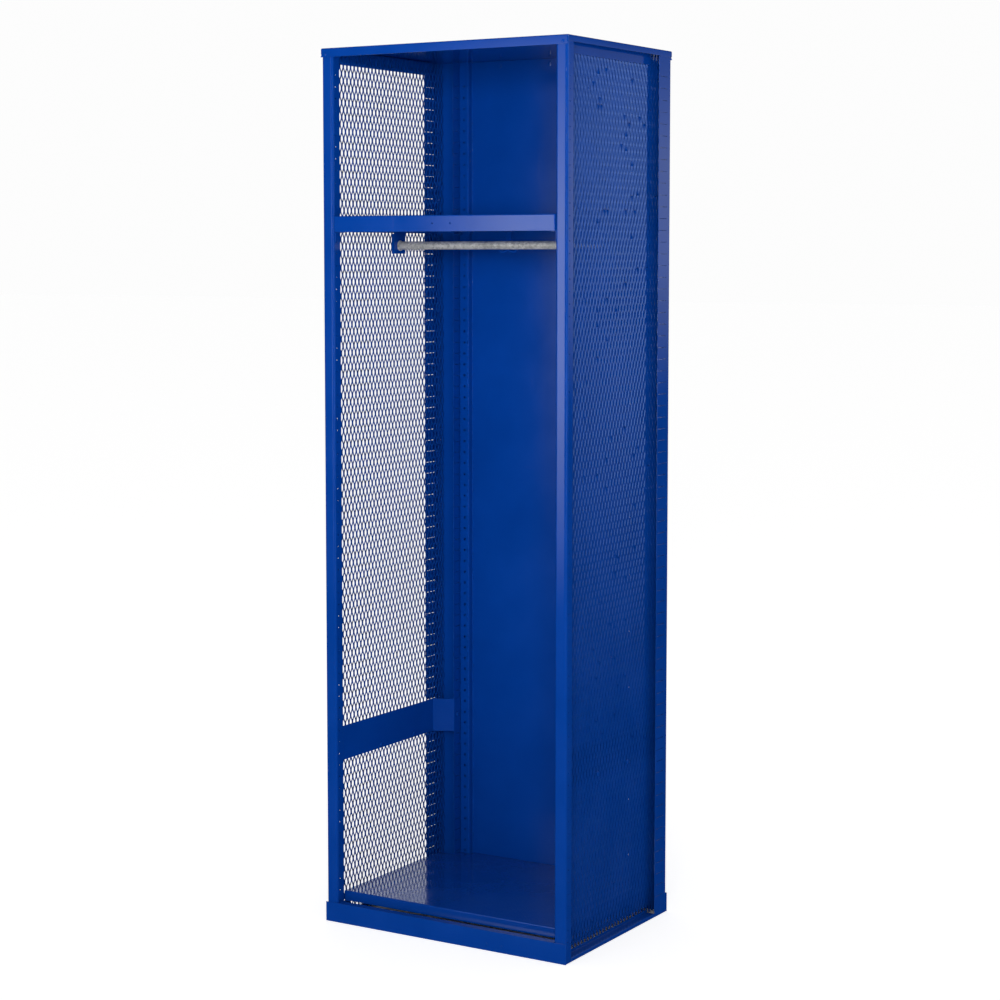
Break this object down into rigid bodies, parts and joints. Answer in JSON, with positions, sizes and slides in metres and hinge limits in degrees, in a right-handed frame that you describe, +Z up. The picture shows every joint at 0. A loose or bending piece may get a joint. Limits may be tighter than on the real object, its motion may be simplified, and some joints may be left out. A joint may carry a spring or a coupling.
{
  "type": "open-front gear locker cabinet",
  "caption": "Tall open-front steel gear locker with expanded-metal sides, solid back, hat shelf and a coat rod under it.",
  "frame": {"origin": "on the floor, under the middle of the cabinet's box", "axes": "+Z up, open front towards -Y, +X to the viewer's right"},
  "size_m": [0.61, 0.457, 1.905],
  "materials": {
    "blue_enamel": "glossy baked enamel, royal blue",
    "expanded_mesh": "glossy baked enamel on expanded steel strands",
    "painted_bolts": "enamelled bolt heads with worn corners",
    "zinc_tube": "galvanised, mottled, half dull",
    "zinc_fittings": "bright zinc plate"
  },
  "bodies": {
    "locker": {"front_post_left": "blue_enamel", "rear_post_left": "blue_enamel", "mesh_panel_left": "expanded_mesh", "top_rail_left": "blue_enamel", "bottom_rail_left": "blue_enamel", "side_band_left": "blue_enamel", "band_bolt_left_1": "painted_bolts", "band_bolt_left_2": "painted_bolts", "band_bolt_left_3": "painted_bolts", "floor_clip_front_left": "blue_enamel", "floor_clip_rear_left": "blue_enamel", "shelf_clip_front_left": "blue_enamel", "shelf_clip_rear_left": "blue_enamel", "rod_bracket_left": "blue_enamel", "bracket_rivet_left": "blue_enamel", "top_rivet_front_left": "blue_enamel", "top_rivet_rear_left": "blue_enamel", "front_post_right": "blue_enamel", "rear_post_right": "blue_enamel", "mesh_panel_right": "expanded_mesh", "top_rail_right": "blue_enamel", "bottom_rail_right": "blue_enamel", "side_band_right": "blue_enamel", "band_bolt_right_1": "painted_bolts", "band_bolt_right_2": "painted_bolts", "band_bolt_right_3": "painted_bolts", "floor_clip_front_right": "blue_enamel", "floor_clip_rear_right": "blue_enamel", "shelf_clip_front_right": "blue_enamel", "shelf_clip_rear_right": "blue_enamel", "rod_bracket_right": "blue_enamel", "bracket_rivet_right": "blue_enamel", "top_rivet_front_right": "blue_enamel", "top_rivet_rear_right": "blue_enamel", "top_pan": "blue_enamel", "shelf": "blue_enamel", "floor_pan": "blue_enamel", "back_panel": "blue_enamel", "front_base_plate": "blue_enamel", "rear_base_plate": "blue_enamel", "coat_hook": "blue_enamel", "hook_rivet": "blue_enamel", "base_rivet_1": "blue_enamel", "base_rivet_2": "blue_enamel", "back_bolt_1": "painted_bolts", "back_bolt_2": "painted_bolts", "back_bolt_3": "painted_bolts"},
    "rod": {"coat_rod": "zinc_tube", "rod_collar_left": "zinc_fittings", "rod_collar_right": "zinc_fittings"}
  },
  "joints": [
    {"name": "rod_turn", "type": "hinge", "parent": "locker", "child": "rod", "pos_m": [0, 0.0075, 1.486], "axis": [1, 0, 0], "continuous": true}
  ]
}
